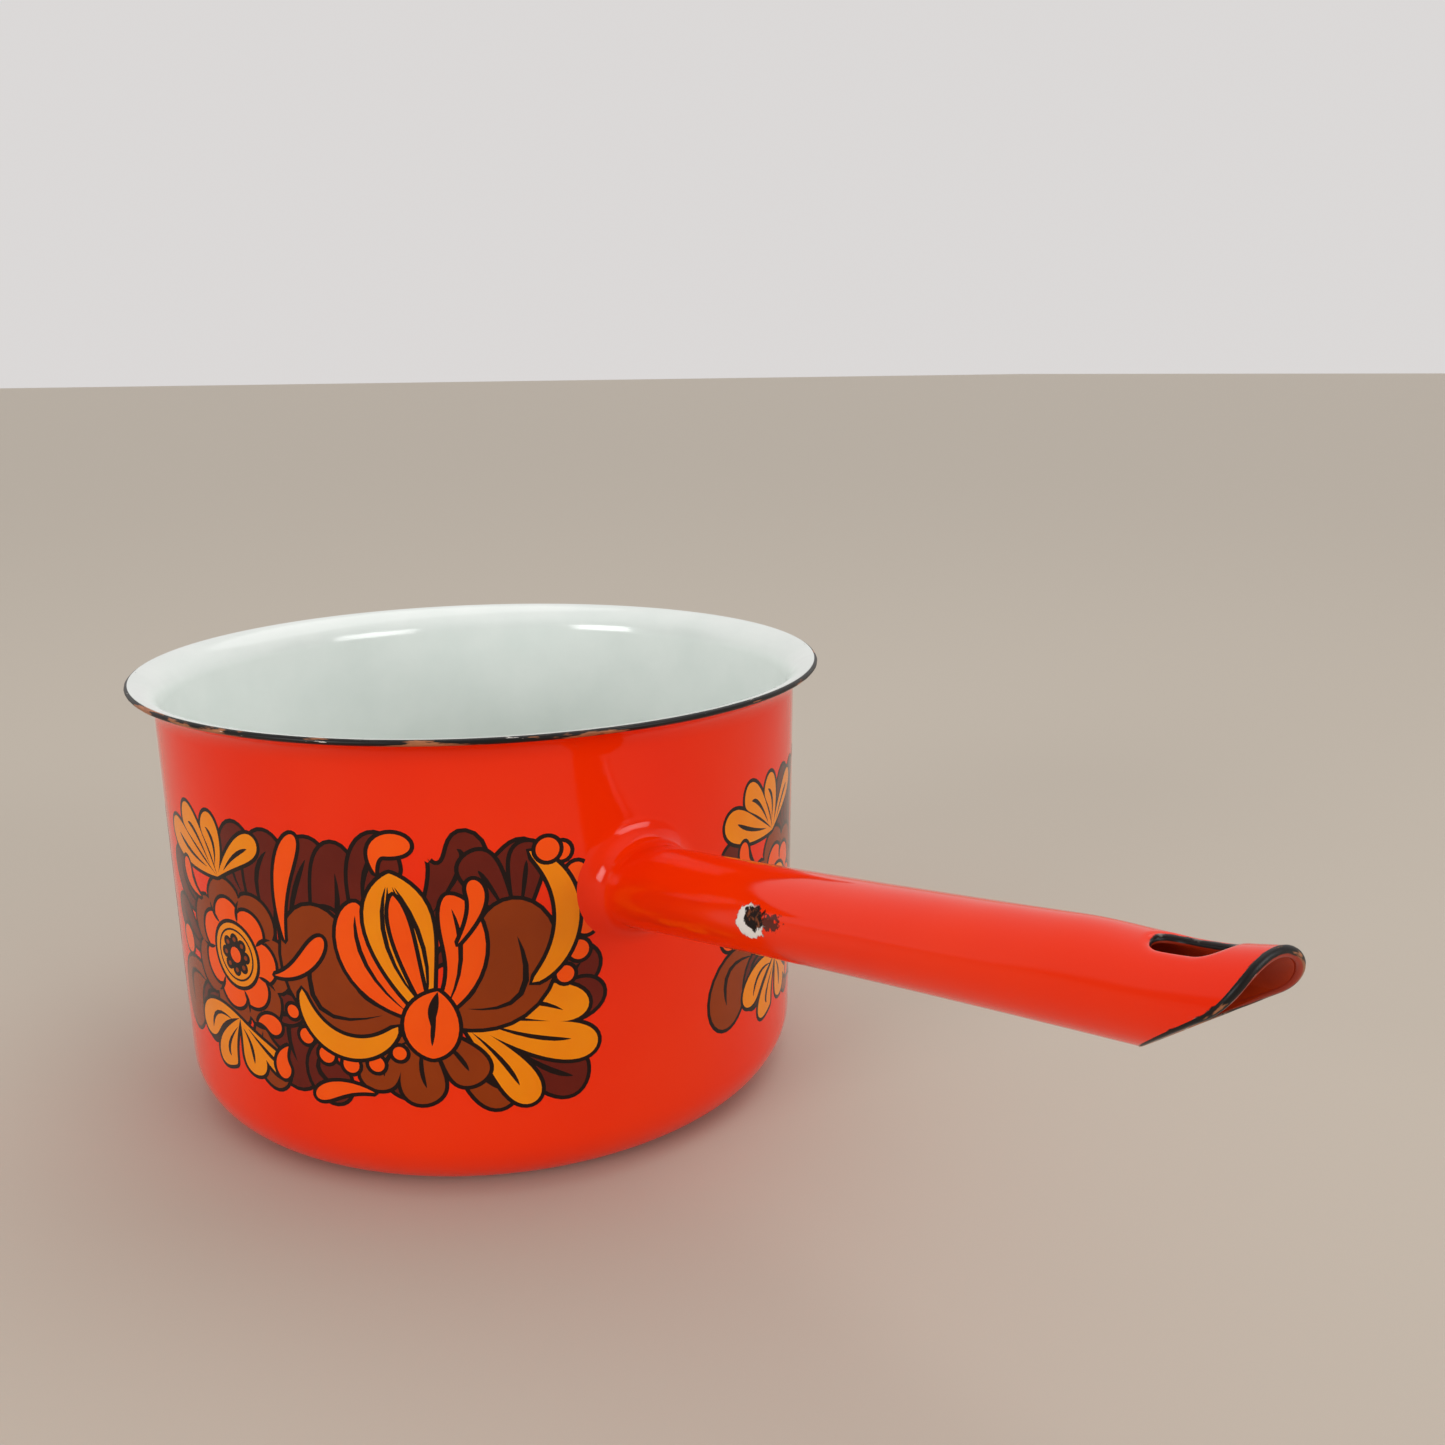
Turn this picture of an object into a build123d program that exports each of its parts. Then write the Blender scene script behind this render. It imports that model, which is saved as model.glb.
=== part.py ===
"""Enamelled steel saucepan: a drawn pan with a rolled lip and a hollow handle welded to its wall.

Z is the pan's axis, the handle runs towards +X, and the pan rests on Z = 0.
Sizes are in millimetres. Outside sizes are taken over the enamel."""

import os
from math import ceil, cos, pi, radians, sin

from build123d import *

# Coats and sheet
steel = 0.9
enamel = 0.3
edge_enamel = 0.5

# Pan
pan_height = 109.0
wall_radius = 80.8  # outside, where the lip begins
wall_draft = 0.8  # degrees, the wall leans out by this much
base_corner_radius = 13.4
lip_bend_radius = 6.3  # underside of the lip
lip_turn = 86.0  # degrees
rim_wrap = 18.0  # degrees of the lip's bend that the black rim coat covers

# Handle
handle_drop = 38.8  # from the rim down to where the handle's axis starts
handle_seat = 80.0  # radius that distances along the handle are counted from
handle_rise = 11.3  # degrees
handle_length = 165.8  # to the tip of the mouth
root_half_width = 10.6
root_half_height = 9.4
tip_half_width = 8.2
tip_half_height = 8.7
handle_taper = 2.5  # power, the width narrows mostly towards the tip
handle_waist = 0.8  # the height is less by this much halfway along
weld_radius = 5.0

# Mouth, cut on a slant, and the hanging slot in the top of the handle
mouth_angle = 28.0  # degrees between the slant and the handle's axis
mouth_nose = 6.4  # length of the rounded nose above the slant
slot_length = 12.5
slot_width = 7.0
slot_land = 7.6  # from the slot to the tip
slot_dip = 1.2  # the top of the handle is pressed in this deep at the slot
dip_reach = 22.0  # distance along the handle over which the dip fades out

wall = enamel + steel + enamel
draft = radians(wall_draft)
rise = radians(handle_rise)
reach = 20.0  # how far cutters stand clear of the handle
cap_height = pan_height + reach
handle_height = pan_height - handle_drop

# Centres of the lip's bend and of the base corner, as (radius, height)
lip_z = pan_height - lip_bend_radius - wall
lip_centre = Vector(wall_radius + lip_bend_radius * cos(draft), lip_z)
wall_normal = Vector(cos(draft), -sin(draft))
wall_offset = (lip_centre - wall_normal * lip_bend_radius).dot(wall_normal)
corner_r = (wall_offset - base_corner_radius + base_corner_radius * sin(draft)) / cos(draft)
corner_centre = Vector(corner_r, base_corner_radius)
lip_end_angle = 180 - wall_draft - lip_turn

# The half section is drawn on the side away from the handle
behind = Plane(origin=(0, 0, 0), x_dir=(-1, 0, 0), z_dir=(0, 1, 0))

# Planes along the handle: across it, along its side, and lying on its axis
axis_direction = (cos(rise), 0, sin(rise))
handle_origin = (handle_seat, 0, handle_height)
across = Plane(origin=handle_origin, x_dir=(0, 1, 0), z_dir=axis_direction)
side = Plane(origin=handle_origin, x_dir=axis_direction, z_dir=(0, -1, 0))
flat = Plane(origin=handle_origin, x_dir=axis_direction, z_dir=(-sin(rise), 0, cos(rise)))
slot_centre = handle_length - slot_land - slot_length / 2

# Distances of the handle's sections
section_step = 12.0
section_count = ceil(handle_length / section_step)
section_distances = [-reach] + [handle_length * i / section_count for i in range(section_count + 1)]
section_distances.append(handle_length + reach)


def polar(centre, radius, angle):
    """Point at a radius and an angle in degrees about a centre."""
    return centre + Vector(cos(radians(angle)), sin(radians(angle))) * radius


def fill_pan(inset, mode=Mode.ADD):
    """Half section of the pan, filled to its axis, with its outside moved in by inset."""
    corner = base_corner_radius - inset
    bend = lip_bend_radius + inset
    to_cap = (cap_height - lip_centre.Y) / sin(radians(lip_end_angle))
    with BuildLine() as outline:
        base = Line((0, inset), (corner_centre.X, inset))
        turn = CenterArc(corner_centre, corner, -90, 90 - wall_draft)
        lip = CenterArc(lip_centre, bend, 180 - wall_draft, -lip_turn)
        Line(turn @ 1, lip @ 0)
        Polyline(lip @ 1, polar(lip_centre, to_cap, lip_end_angle), (0, cap_height), base @ 0)
    make_face(outline.edges(), mode=mode)


def cover_edge(mode=Mode.ADD):
    """Sector of the half section that holds the lip's edge."""
    with BuildLine() as outline:
        Polyline(
            lip_centre,
            polar(lip_centre, reach, lip_end_angle - rim_wrap),
            polar(lip_centre, reach, lip_end_angle),
            polar(lip_centre, reach, lip_end_angle + rim_wrap),
            close=True,
        )
    make_face(outline.edges(), mode=mode)


def handle_section(distance):
    """Half width, height above the axis and depth below it at a distance along the handle."""
    share = min(max(distance / handle_length, 0), 1)
    half_width = root_half_width + (tip_half_width - root_half_width) * share**handle_taper
    below = root_half_height + (tip_half_height - root_half_height) * share
    below -= 4 * handle_waist * share * (1 - share)
    to_slot = min(abs(distance - slot_centre) / dip_reach, 1)
    return half_width, below - slot_dip * cos(to_slot * pi / 2) ** 2, below


def fill_handle(inset, mode=Mode.ADD):
    """The handle's outer form as a solid bar, with its outside moved in by inset."""
    sections = []
    for distance in section_distances:
        half_width, above, below = handle_section(distance)
        with BuildSketch(across.offset(distance), mode=Mode.PRIVATE) as section:
            with BuildLine():
                EllipticalCenterArc((0, 0), half_width - inset, above - inset, 0, arc_size=180)
                EllipticalCenterArc((0, 0), half_width - inset, below - inset, 180, arc_size=180)
            make_face()
        sections.append(section.sketch.face())
    loft(sections, mode=mode)


def cut_mouth(setback, mode=Mode.SUBTRACT):
    """Everything past the slanted mouth, which is moved back by setback."""
    slant = radians(mouth_angle)
    tip = Vector(handle_length - setback, tip_half_height)
    knee = Vector(tip.X - mouth_nose, 0)
    with BuildSketch(side, mode=Mode.PRIVATE) as outline:
        with BuildLine():
            below = Line(knee - Vector(cos(slant), sin(slant)) * 2 * reach, knee)
            TangentArc(knee, tip, tangent=below % 1)
            Polyline(tip, (tip.X, reach), (tip.X + 2 * reach, reach),
                     (tip.X + 2 * reach, (below @ 0).Y), below @ 0)
        make_face()
    extrude(outline.sketch, amount=reach, both=True, mode=mode)


def cut_slot(margin, mode=Mode.SUBTRACT):
    """The hanging slot through the top of the handle, larger all round by margin."""
    with BuildSketch(flat, mode=Mode.PRIVATE) as outline:
        with Locations((slot_centre, 0)):
            SlotOverall(slot_length + 2 * margin, slot_width + 2 * margin)
    extrude(outline.sketch, amount=reach, mode=mode)


def weld_edges(builder):
    """The edges where the outside of the handle meets the outside of the pan's wall."""
    root = Vector(wall_radius, 0, handle_height)
    return builder.edges().filter_by(lambda edge: (edge.center() - root).length < 1.5 * root_half_width)


# The filled forms that the pieces are parted from. A fillet between pan and handle is the weld.
with BuildPart() as pan_form:
    with BuildSketch(behind):
        fill_pan(enamel)
    revolve(axis=Axis.Z)

with BuildPart() as bare_form:
    add(pan_form.part)
    fill_handle(enamel)
    fillet(weld_edges(bare_form), weld_radius)

# Steel pan, drawn from one sheet, with its lip turned out
with BuildPart() as pan_shell:
    with BuildSketch(behind):
        fill_pan(enamel)
        fill_pan(enamel + steel, mode=Mode.SUBTRACT)
    revolve(axis=Axis.Z)

# Steel tube of the handle, butted against the pan's wall
with BuildPart() as handle_tube:
    fill_handle(enamel)
    fill_handle(enamel + steel, mode=Mode.SUBTRACT)
    add(pan_form.part, mode=Mode.SUBTRACT)
    cut_mouth(edge_enamel)
    cut_slot(edge_enamel)

# Weld bead all round the root of the handle
with BuildPart() as root_weld:
    add(bare_form.part)
    add(pan_form.part, mode=Mode.SUBTRACT)
    fill_handle(enamel, mode=Mode.SUBTRACT)

# Colour coat, unbroken from the pan's wall over the weld to the end of the handle
with BuildPart() as outside_enamel:
    with BuildSketch(behind):
        fill_pan(0)
    revolve(axis=Axis.Z)
    fill_handle(0)
    fillet(weld_edges(outside_enamel), weld_radius - enamel)
    add(bare_form.part, mode=Mode.SUBTRACT)
    with BuildSketch(behind):
        cover_edge()
    revolve(axis=Axis.Z, mode=Mode.SUBTRACT)
    Cylinder(corner_centre.X, enamel, align=(Align.CENTER, Align.CENTER, Align.MIN),
             mode=Mode.SUBTRACT)
    cut_mouth(edge_enamel)
    cut_slot(edge_enamel)

# Pale lining of the pan, up to the black rim
with BuildPart() as inside_enamel:
    with BuildSketch(behind):
        fill_pan(enamel + steel)
        fill_pan(wall, mode=Mode.SUBTRACT)
        cover_edge(mode=Mode.SUBTRACT)
    revolve(axis=Axis.Z)

# Black coat round the edge of the lip
with BuildPart() as rim_enamel:
    with BuildSketch(behind):
        fill_pan(0)
        fill_pan(wall, mode=Mode.SUBTRACT)
        cover_edge(mode=Mode.INTERSECT)
        with Locations(polar(lip_centre, lip_bend_radius + wall / 2, lip_end_angle)):
            Circle(wall / 2)
    revolve(axis=Axis.Z)
    add(pan_shell.part, mode=Mode.SUBTRACT)

# Dark ground coat under the base, which the pan stands on
with BuildPart() as base_enamel:
    Cylinder(corner_centre.X, enamel, align=(Align.CENTER, Align.CENTER, Align.MIN))

# Dark ground coat inside the handle
with BuildPart() as handle_lining:
    fill_handle(enamel + steel)
    fill_handle(wall, mode=Mode.SUBTRACT)
    add(pan_form.part, mode=Mode.SUBTRACT)
    cut_mouth(edge_enamel)
    cut_slot(edge_enamel)

# Black coats round the edges of the mouth and of the hanging slot
with BuildPart() as mouth_enamel:
    fill_handle(0)
    fill_handle(wall, mode=Mode.SUBTRACT)
    cut_mouth(edge_enamel, mode=Mode.INTERSECT)
    cut_mouth(0)

with BuildPart() as slot_enamel:
    fill_handle(0)
    fill_handle(wall, mode=Mode.SUBTRACT)
    cut_slot(edge_enamel, mode=Mode.INTERSECT)
    cut_slot(0)

pieces = {
    "pan_shell": pan_shell,
    "handle_tube": handle_tube,
    "root_weld": root_weld,
    "outside_enamel": outside_enamel,
    "inside_enamel": inside_enamel,
    "rim_enamel": rim_enamel,
    "base_enamel": base_enamel,
    "handle_lining": handle_lining,
    "mouth_enamel": mouth_enamel,
    "slot_enamel": slot_enamel,
}
os.makedirs("parts", exist_ok=True)
for name, piece in pieces.items():
    piece.part.label = name
    export_step(piece.part, f"parts/{name}.step")
    print(name, len(piece.part.solids()), round(piece.part.volume))
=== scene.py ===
"""Enamelled steel saucepan with a printed flower border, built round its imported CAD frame."""

import bmesh
import bpy
import numpy as np
from cmath import rect
from math import acos, cos, pi, radians, sin, sqrt, tan
from mathutils import Euler, Matrix, Vector, noise
from mathutils.geometry import delaunay_2d_cdt


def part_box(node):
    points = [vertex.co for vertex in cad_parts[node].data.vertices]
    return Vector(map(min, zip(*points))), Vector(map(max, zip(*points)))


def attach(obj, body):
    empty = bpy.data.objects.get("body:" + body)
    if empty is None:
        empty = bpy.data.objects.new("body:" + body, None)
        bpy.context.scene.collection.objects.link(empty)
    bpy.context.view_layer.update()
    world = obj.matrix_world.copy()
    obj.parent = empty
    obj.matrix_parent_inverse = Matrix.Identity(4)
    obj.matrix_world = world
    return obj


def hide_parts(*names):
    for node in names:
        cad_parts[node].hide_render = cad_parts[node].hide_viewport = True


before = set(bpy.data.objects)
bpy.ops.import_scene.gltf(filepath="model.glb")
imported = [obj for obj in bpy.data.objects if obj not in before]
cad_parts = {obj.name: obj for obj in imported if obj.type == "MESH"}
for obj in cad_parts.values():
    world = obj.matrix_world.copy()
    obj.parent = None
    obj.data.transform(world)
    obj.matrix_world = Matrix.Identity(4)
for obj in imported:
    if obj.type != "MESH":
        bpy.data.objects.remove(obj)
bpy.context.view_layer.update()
bpy.ops.object.select_all(action="DESELECT")

# ---------------------------------------------------------------------------------------------
# Steel pan. One disc of low-carbon sheet, deep drawn to a straight-sided pan, its edge turned
# out to a lip. It lies under enamel everywhere, so the CAD solid stays and only gets its metal.
# ---------------------------------------------------------------------------------------------
mm = 0.001


def linear(hex_colour):
    """sRGB hex text to linear red, green, blue and alpha."""
    parts = [int(hex_colour[i:i + 2], 16) / 255 for i in (1, 3, 5)]
    return [c / 12.92 if c <= 0.04045 else ((c + 0.055) / 1.055) ** 2.4 for c in parts] + [1.0]


def node(material, kind, links=None, **settings):
    """Adds a node. Settings are its properties, and links gives its inputs a value or an output."""
    made = material.node_tree.nodes.new("ShaderNode" + kind)
    for name, value in settings.items():
        setattr(made, name, value)
    for name, value in (links or {}).items():
        if isinstance(value, bpy.types.NodeSocket):
            material.node_tree.links.new(value, made.inputs[name])
        else:
            made.inputs[name].default_value = linear(value) if isinstance(value, str) else value
    return made


def new_material(name):
    """An empty material with its output node, ready for a shader."""
    material = bpy.data.materials.new(name)
    material.use_nodes = True
    material.node_tree.nodes.clear()
    return material


def finish_material(material, shader):
    node(material, "OutputMaterial", {"Surface": shader.outputs[0]})
    return material


def cold_rolled_steel():
    """Cold-rolled sheet, faintly grained by the rolls, with the thin oxide that firing leaves."""
    material = new_material("cold_rolled_steel")
    place = node(material, "TexCoord").outputs["Object"]
    grain = node(material, "TexNoise", {"Vector": place, "Scale": 1 / (0.4 * mm), "Detail": 4.0})
    tone = node(material, "MapRange", {"Value": grain.outputs["Fac"], "To Min": 0.30, "To Max": 0.50})
    bump = node(material, "Bump", {
        "Height": grain.outputs["Fac"], "Strength": 0.2, "Distance": 0.02 * mm})
    shader = node(material, "BsdfPrincipled", {
        "Base Color": "#8B8782", "Metallic": 1.0,
        "Roughness": tone.outputs["Result"], "Normal": bump.outputs["Normal"]})
    return finish_material(material, shader)


def give_material(item, material):
    item.data.materials.clear()
    item.data.materials.append(material)


steel = cold_rolled_steel()
for name in ("pan_shell", "handle_tube", "root_weld"):
    give_material(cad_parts[name], steel)

# ---------------------------------------------------------------------------------------------
# Red coat on the pan's wall. Two sprayed and fired coats of glass enamel run from the base
# corner up under the lip. Each is a fraction of a millimetre, and fires to a wavy gloss.
# ---------------------------------------------------------------------------------------------
coat = 0.3 * mm
sheet = 0.9 * mm
wall = coat + sheet + coat
pan_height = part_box("rim_enamel")[1].z
wall_radius = 80.8 * mm
draft = radians(0.8)
corner_radius = 13.4 * mm
lip_bend = 6.3 * mm
lip_turn = radians(86)
lip_end = pi - draft - lip_turn
lip_centre = Vector((wall_radius + lip_bend * cos(draft), pan_height - lip_bend - wall))
wall_normal = Vector((cos(draft), -sin(draft)))
wall_offset = (lip_centre - wall_normal * lip_bend).dot(wall_normal)
corner_centre = Vector((
    (wall_offset - corner_radius + corner_radius * sin(draft)) / cos(draft), corner_radius))


def radius_of_wall(z):
    """Outside radius of the straight wall at a height."""
    return (wall_offset + z * sin(draft)) / cos(draft)


def arc_points(centre, radius, start, end, steps):
    turns = [start + (end - start) * i / steps for i in range(steps + 1)]
    return [centre + Vector((cos(a), sin(a))) * radius for a in turns]


def pan_line(inset, lip_from=0.0, wall_steps=40):
    """Half section as (radius, height) points from the base's middle to the lip's edge."""
    corner = arc_points(corner_centre, corner_radius - inset, -pi / 2, -draft, 14)
    lip = arc_points(lip_centre, lip_bend + inset, pi - draft, lip_end + lip_from, 18)
    straight = [corner[-1].lerp(lip[0], i / wall_steps) for i in range(1, wall_steps)]
    return corner + straight + lip


def turned(name, outline, steps=360):
    """Spins a closed outline of (radius, height) points round the pan's axis."""
    bpy.ops.mesh.primitive_plane_add(size=mm)
    item = bpy.context.object
    item.name = name
    bpy.ops.object.mode_set(mode="EDIT")
    bpy.ops.mesh.merge(type="CENTER")
    bpy.ops.transform.translate(value=(outline[0].x, 0, outline[0].y))
    for here, there in zip(outline, outline[1:]):
        step = there - here
        bpy.ops.mesh.extrude_region_move(TRANSFORM_OT_translate={"value": (step.x, 0, step.y)})
    bpy.ops.mesh.select_all(action="SELECT")
    if outline[0].x > 0:
        bpy.ops.mesh.edge_face_add()
        bpy.ops.mesh.delete(type="ONLY_FACE")
        bpy.ops.mesh.select_all(action="SELECT")
    bpy.ops.mesh.spin(steps=steps, angle=2 * pi, center=(0, 0, 0), axis=(0, 0, 1))
    bpy.ops.mesh.select_all(action="SELECT")
    bpy.ops.mesh.remove_doubles(threshold=0.002 * mm)
    bpy.ops.mesh.normals_make_consistent(inside=False)
    bpy.ops.object.mode_set(mode="OBJECT")
    bpy.ops.object.transform_apply(location=True, rotation=True, scale=True)
    bpy.ops.object.shade_smooth_by_angle(angle=radians(40))
    item.select_set(False)
    return item


rim_wrap = radians(9)
coat_depth = 0.7 * coat  # it ends short of the steel, so that no two faces lie on one another
wall_coat = turned("wall_enamel", pan_line(0, rim_wrap) + pan_line(coat_depth, rim_wrap)[::-1])
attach(wall_coat, "root")
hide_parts("outside_enamel")

# ---------------------------------------------------------------------------------------------
# Red coat on the handle. The same enamel runs on over the weld and along the tube. The tube is
# rolled from a flat blank, so its skin is a flat grid laid round the handle's form.
# ---------------------------------------------------------------------------------------------
handle_seat, handle_drop = 80.0 * mm, 38.8 * mm  # from the pan's axis, and down from the rim
handle_origin = Vector((handle_seat, 0, pan_height - handle_drop))
rise = radians(11.3)
along = Vector((cos(rise), 0, sin(rise)))
aside = Vector((0, 1, 0))
upward = along.cross(aside)
handle_length = 165.8 * mm
root_half_width, root_half_height = 10.6 * mm, 9.4 * mm
tip_half_width, tip_half_height = 8.2 * mm, 8.7 * mm
handle_taper = 2.5  # power, the width narrows mostly towards the tip
handle_waist = 0.8 * mm  # the height is less by this much halfway along
slot_length, slot_width, slot_land = 12.5 * mm, 7.0 * mm, 7.6 * mm
slot_centre = handle_length - slot_land - slot_length / 2
slot_dip, dip_reach = 1.2 * mm, 22 * mm
mouth_slant = radians(28)
mouth_nose = 6.4 * mm
weld_radius = 5.2 * mm


def handle_section(distance):
    """Half width, height above the axis and depth below it at a distance along the handle."""
    share = min(max(distance / handle_length, 0), 1)
    half_width = root_half_width + (tip_half_width - root_half_width) * share**handle_taper
    below = root_half_height + (tip_half_height - root_half_height) * share
    below -= 4 * handle_waist * share * (1 - share)
    to_slot = min(abs(distance - slot_centre) / dip_reach, 1)
    return half_width, below - slot_dip * cos(to_slot * pi / 2) ** 2, below


def on_handle(distance, turn, out=0.0):
    """Point on the handle's outside, moved out along its normal; a turn of 90 degrees is on top."""
    half_width, above, below = handle_section(distance)
    half_height = above if sin(turn) > 0 else below
    normal = Vector((cos(turn) / half_width, sin(turn) / half_height)).normalized()
    flat = Vector((half_width * cos(turn), half_height * sin(turn))) + normal * out
    return handle_origin + along * distance + aside * flat.x + upward * flat.y


def distance_to_wall(turn, out):
    """Distance along the handle at which a line at that turn, moved out, meets the pan's wall."""
    flat = on_handle(0, turn, out) - handle_origin
    side, height = flat.y, flat.dot(upward)
    distance = 0.0
    for _ in range(5):
        z = handle_origin.z + distance * sin(rise) + height * cos(rise)
        x = sqrt(radius_of_wall(z) ** 2 - side**2)
        distance = (x - handle_origin.x + height * sin(rise)) / cos(rise)
    return distance


def mouth_distance(height):
    """Where the slanted mouth cuts the handle, at a height above its axis."""
    knee = handle_length - mouth_nose
    if height <= 0:
        return knee + height / tan(mouth_slant)
    # Above the axis the cut is an arc that leaves the slant smoothly and ends at the tip
    chord = Vector((mouth_nose, tip_half_height))
    slant = Vector((cos(mouth_slant), sin(mouth_slant)))
    square = Vector((-slant.y, slant.x))
    radius = chord.length_squared / (2 * chord.dot(square))
    centre = square * radius
    return knee + centre.x + sqrt(max(radius**2 - (height - centre.y) ** 2, 0))


def mouth_end(turn, setback=0.0):
    """Distance along the handle of the mouth's edge at a turn."""
    distance = handle_length
    for _ in range(6):
        _, above, below = handle_section(distance)
        distance = mouth_distance((above if sin(turn) > 0 else below) * sin(turn)) - setback
    return distance


columns = 144
fillet_rows = 14
tube_rows = 110
crowding = 1.6  # power, rows close up towards the mouth, where the worn edge needs them
tucked_in = 0.06 * mm  # the weld's first row runs up the wall, this deep in its coat
wall_apron = 1.0 * mm
mouth_setback = 0.5 * mm


def skin_place(row, column):
    """Distance, turn and height over the tube of a grid point, from the wall to the mouth."""
    turn = 2 * pi * column / columns
    corner = pi / 2 - rise * sin(turn)
    contact = weld_radius / tan(corner / 2)
    height = contact * sin(corner)
    if row == 0:
        out = height + wall_apron
        return distance_to_wall(turn, out) - tucked_in, turn, out
    if row <= fillet_rows:
        # The weld's hollow curve is an arc from the wall to the tube
        share = (row - 1) / (fillet_rows - 1)
        spread = (1 - share) ** 2 + 2 * sin(corner / 2) * share * (1 - share) + share**2
        out = height * (1 - share) ** 2 / spread
        return distance_to_wall(turn, out) + contact * share**2 / spread, turn, out
    start = distance_to_wall(turn, 0) + contact
    share = 1 - (1 - (row - fillet_rows) / tube_rows) ** crowding
    return start + (mouth_end(turn, mouth_setback) - start) * share, turn, 0.0


bpy.ops.mesh.primitive_grid_add(x_subdivisions=columns, y_subdivisions=fillet_rows + tube_rows)
handle_coat = bpy.context.object
handle_coat.name = "handle_enamel"
row_length = columns + 1
for vertex in handle_coat.data.vertices:
    vertex.co = on_handle(*skin_place(vertex.index // row_length, vertex.index % row_length))


def edit(item):
    """Edit mode on one object, with everything in it selected."""
    bpy.context.view_layer.objects.active = item
    item.select_set(True)
    bpy.ops.object.mode_set(mode="EDIT")
    bpy.ops.mesh.select_all(action="SELECT")


def place_mesh(item, smooth=40):
    """Back to object mode, at the origin and unturned, with its soft edges shaded smooth."""
    bpy.ops.object.mode_set(mode="OBJECT")
    bpy.ops.object.transform_apply(location=True, rotation=True, scale=True)
    bpy.ops.object.shade_smooth_by_angle(angle=radians(smooth))
    item.select_set(False)
    return item


def apply_modifier(item, kind, **settings):
    bpy.context.view_layer.objects.active = item
    modifier = item.modifiers.new(kind.title(), kind)
    for name, value in settings.items():
        setattr(modifier, name, value)
    bpy.ops.object.modifier_apply(modifier=modifier.name)


def slot_edge(direction, margin):
    """Point of the slot's round-ended outline, as (along, aside) from its middle."""
    end_radius = slot_width / 2 + margin
    half_straight = (slot_length - slot_width) / 2
    step = Vector(direction).normalized()
    reach = end_radius / max(abs(step.y), 1e-9)
    if abs(step.x) * reach > half_straight:
        inward = abs(step.x) * half_straight
        reach = inward + sqrt(inward**2 - half_straight**2 + end_radius**2)
    return step * reach


slot_roll = 0.75 * mm  # deep, and twice as wide


def cut_slot_in_skin(item, rings=10, roll_rings=5):
    """Takes a patch out of the top of the grid, and fills it again with an edge rolled inwards."""
    top_column = columns // 4
    half_patch = int(columns * 0.15)
    room = slot_length / 2 + 4 * mm
    rows = [row for row in range(fillet_rows, fillet_rows + tube_rows)
            if abs(skin_place(row, top_column)[0] - slot_centre) < room]
    first_row, last_row = rows[0], rows[-1]
    cells = [(row, column) for row in range(first_row, last_row)
             for column in range(top_column - half_patch, top_column + half_patch)]
    loop = [(first_row, top_column + c) for c in range(-half_patch, half_patch)]
    loop += [(r, top_column + half_patch) for r in range(first_row, last_row)]
    loop += [(last_row, top_column - c) for c in range(-half_patch, half_patch)]
    loop += [(last_row - r, top_column - half_patch) for r in range(last_row - first_row)]
    mesh = bmesh.new()
    mesh.from_mesh(item.data)
    mesh.verts.ensure_lookup_table()
    grid = list(mesh.verts)
    taken = {frozenset(grid[(r + i) * row_length + c + j] for i in (0, 1) for j in (0, 1))
             for r, c in cells}
    bmesh.ops.delete(mesh, geom=[f for f in mesh.faces if frozenset(f.verts) in taken],
                     context="FACES")
    outer = [grid[r * row_length + c] for r, c in loop]
    rolls = [pi / 2 * i / roll_rings for i in range(roll_rings + 1)]
    margins = [2 * slot_roll * (1 - sin(roll)) for roll in rolls]
    depths = [slot_roll * (1 - cos(roll)) for roll in rolls]
    middle = Vector((slot_centre, 0))
    starts, ends = [], []
    for vertex, (row, column) in zip(outer, loop):
        distance = (vertex.co - handle_origin).dot(along)
        starts.append(Vector((distance, vertex.co.y)))
        ends.append([slot_edge((distance - slot_centre, vertex.co.y), margin) for margin in margins])
    ring = outer
    for step in range(1, rings + roll_rings + 1):
        inner = []
        for start, edges in zip(starts, ends):
            spot = start.lerp(middle + edges[0], min(step / rings, 1))
            depth = 0.0
            if step > rings:
                spot = middle + edges[step - rings]
                depth = depths[step - rings]
            turn = acos(spot.y / handle_section(spot.x)[0])
            inner.append(mesh.verts.new(on_handle(spot.x, turn, -depth)))
        for i in range(len(ring)):
            j = (i + 1) % len(ring)
            mesh.faces.new((ring[i], ring[j], inner[j], inner[i]))
        ring = inner
    bmesh.ops.delete(mesh, geom=[v for v in mesh.verts if not v.link_faces], context="VERTS")
    mesh.to_mesh(item.data)
    mesh.free()


cut_slot_in_skin(handle_coat)
edit(handle_coat)
bpy.ops.mesh.remove_doubles(threshold=0.01 * mm)
bpy.ops.mesh.normals_make_consistent(inside=False)
bpy.ops.object.mode_set(mode="OBJECT")
apply_modifier(handle_coat, "SOLIDIFY", thickness=0.5 * coat, offset=-1)
edit(handle_coat)
place_mesh(handle_coat)

# How near each point is to a worn edge, from 0 at this far away to 1 on the edge itself
worn_reach = 2.4 * mm
wear = handle_coat.data.attributes.new("edge_wear", "FLOAT", "POINT")
for vertex in handle_coat.data.vertices:
    spot = vertex.co - handle_origin
    distance = spot.dot(along)
    to_mouth = (mouth_distance(spot.dot(upward)) - distance) * sin(mouth_slant)
    edge = slot_edge((distance - slot_centre, spot.y), 0)
    to_slot = Vector((distance - slot_centre, spot.y)).length - edge.length
    to_slot += 0.2 * mm - 0.09 * spot.y  # the hook has scuffed one side more
    if spot.dot(upward) < 0:
        to_slot = worn_reach
    wear.data[vertex.index].value = max(0.0, 1 - max(min(to_mouth, to_slot), 0) / worn_reach)
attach(handle_coat, "root")
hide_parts("outside_enamel")


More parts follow.
